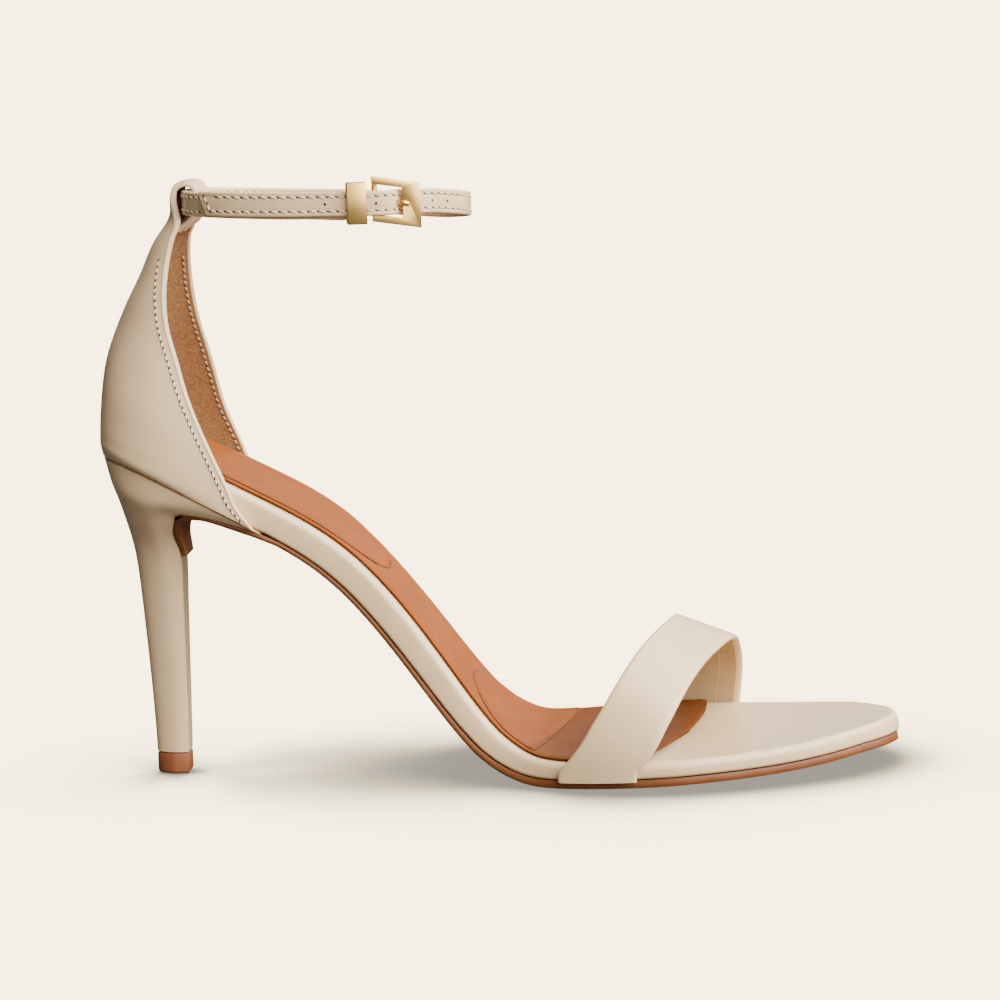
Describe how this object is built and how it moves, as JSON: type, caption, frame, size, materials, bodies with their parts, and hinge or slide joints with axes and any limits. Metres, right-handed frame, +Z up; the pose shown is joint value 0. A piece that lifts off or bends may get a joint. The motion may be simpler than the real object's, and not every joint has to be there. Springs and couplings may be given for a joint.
{
  "type": "heeled sandal",
  "caption": "High-heeled open-toe sandal with a heel counter, a slanted toe strap and a buckled ankle strap.",
  "frame": {"origin": "middle of the heel tip's bottom face, on the floor", "axes": "+X towards the toe, +Z up, -Y towards the outer side of the right foot"},
  "size_m": [0.2183, 0.0801, 0.1662],
  "materials": {
    "upper_leather": "smooth cream leather with a soft sheen",
    "heel_leather": "smooth cream leather drawn over the heel",
    "sock_leather": "tan padded sock leather",
    "sole_leather": "smooth tan sole leather with a polished edge",
    "tip_rubber": "matt tan top piece",
    "gold_metal": "brushed pale gold plating"
  },
  "bodies": {
    "root": {"outsole": "sole_leather", "covered_board": "upper_leather", "insole_sock": "sock_leather", "heel": "heel_leather", "heel_tip": "tip_rubber", "counter": "upper_leather", "toe_strap": "upper_leather", "ankle_strap": "upper_leather", "buckle_frame": "gold_metal", "buckle_prong": "gold_metal", "strap_keeper": "gold_metal"}
  },
  "joints": []
}
